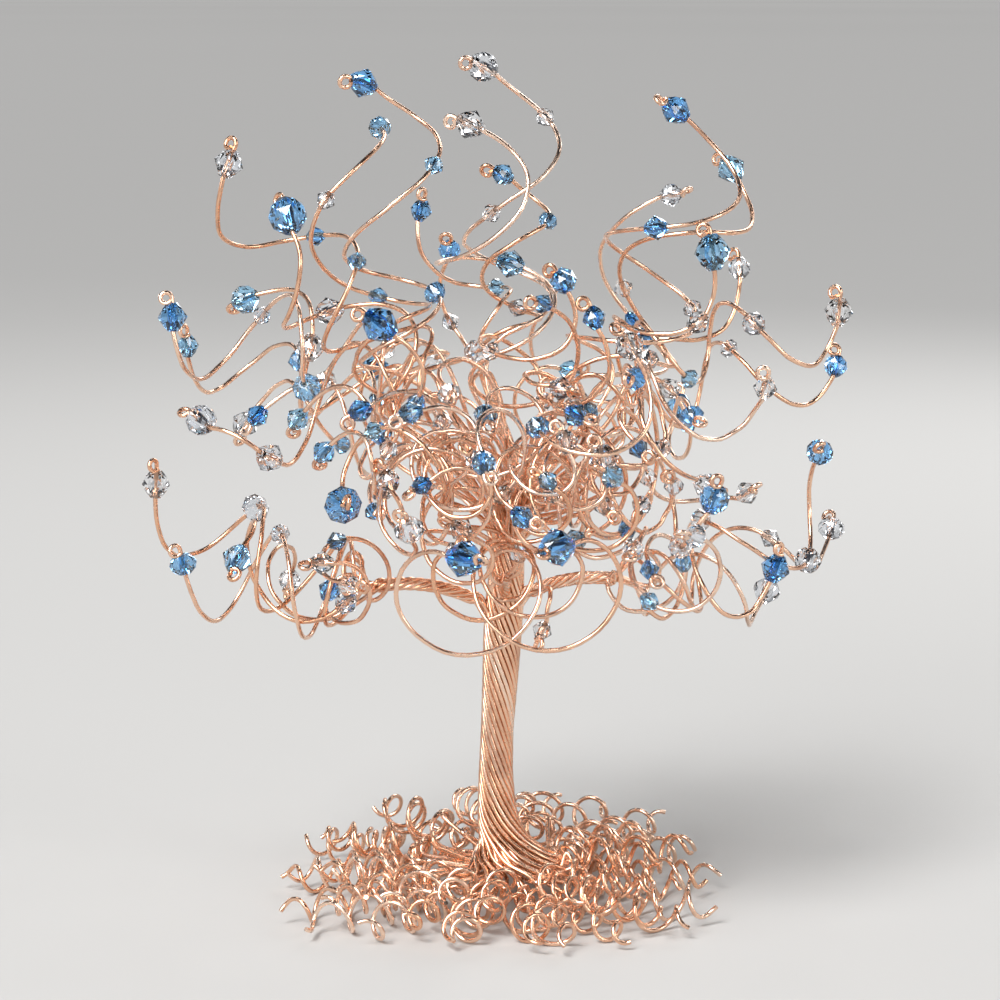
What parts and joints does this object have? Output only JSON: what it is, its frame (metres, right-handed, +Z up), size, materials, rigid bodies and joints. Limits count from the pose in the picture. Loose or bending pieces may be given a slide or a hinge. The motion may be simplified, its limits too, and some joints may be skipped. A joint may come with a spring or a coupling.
{
  "type": "wire tree cake topper",
  "caption": "Tree of twisted copper wire with a rope-like trunk, a mat of curled roots to stand on, and a crown of corkscrew wires threaded with blue and clear cut crystal beads.",
  "frame": {"origin": "on the surface the root curls rest on, under the middle of the topper's bounding box", "axes": "+Z up, +X to the right seen from the front, +Y to the back"},
  "size_m": [0.1484, 0.11, 0.1792],
  "materials": {
    "copper_wire": "bright drawn copper wire",
    "blue_crystal": "cut and polished blue glass",
    "clear_crystal": "cut and polished clear glass"
  },
  "bodies": {
    "root": {"blue_crystal_10": "blue_crystal", "blue_crystal_12": "blue_crystal", "blue_crystal_13": "blue_crystal", "blue_crystal_14": "blue_crystal", "blue_crystal_16": "blue_crystal", "blue_crystal_17": "blue_crystal", "blue_crystal_19": "blue_crystal", "blue_crystal_20": "blue_crystal", "blue_crystal_21": "blue_crystal", "blue_crystal_22": "blue_crystal", "blue_crystal_24": "blue_crystal", "blue_crystal_25": "blue_crystal", "blue_crystal_26": "blue_crystal", "blue_crystal_28": "blue_crystal", "blue_crystal_3": "blue_crystal", "blue_crystal_5": "blue_crystal", "blue_crystal_6": "blue_crystal", "blue_crystal_8": "blue_crystal", "clear_crystal_1": "clear_crystal", "clear_crystal_11": "clear_crystal", "clear_crystal_15": "clear_crystal", "clear_crystal_18": "clear_crystal", "clear_crystal_2": "clear_crystal", "clear_crystal_23": "clear_crystal", "clear_crystal_27": "clear_crystal", "clear_crystal_29": "clear_crystal", "clear_crystal_4": "clear_crystal", "clear_crystal_7": "clear_crystal", "clear_crystal_9": "clear_crystal", "crown_wires_back_left_a": "copper_wire", "crown_wires_back_left_b": "copper_wire", "crown_wires_back_right_a": "copper_wire", "crown_wires_back_right_b": "copper_wire", "crown_wires_front_left_a": "copper_wire", "crown_wires_front_left_b": "copper_wire", "crown_wires_front_low_a": "copper_wire", "crown_wires_front_low_b": "copper_wire", "crown_wires_front_right_a": "copper_wire", "crown_wires_front_right_b": "copper_wire", "crown_wires_left_low_a": "copper_wire", "crown_wires_left_low_b": "copper_wire", "crown_wires_left_upper_a": "copper_wire", "crown_wires_left_upper_b": "copper_wire", "crown_wires_right_low_a": "copper_wire", "crown_wires_right_low_b": "copper_wire", "crown_wires_right_upper_a": "copper_wire", "crown_wires_right_upper_b": "copper_wire", "crown_wires_top_a": "copper_wire", "crown_wires_top_b": "copper_wire", "root_curls_1": "copper_wire", "root_curls_2": "copper_wire", "root_curls_3": "copper_wire", "root_curls_4": "copper_wire", "root_curls_5": "copper_wire", "root_curls_6": "copper_wire", "trunk": "copper_wire"}
  },
  "joints": []
}
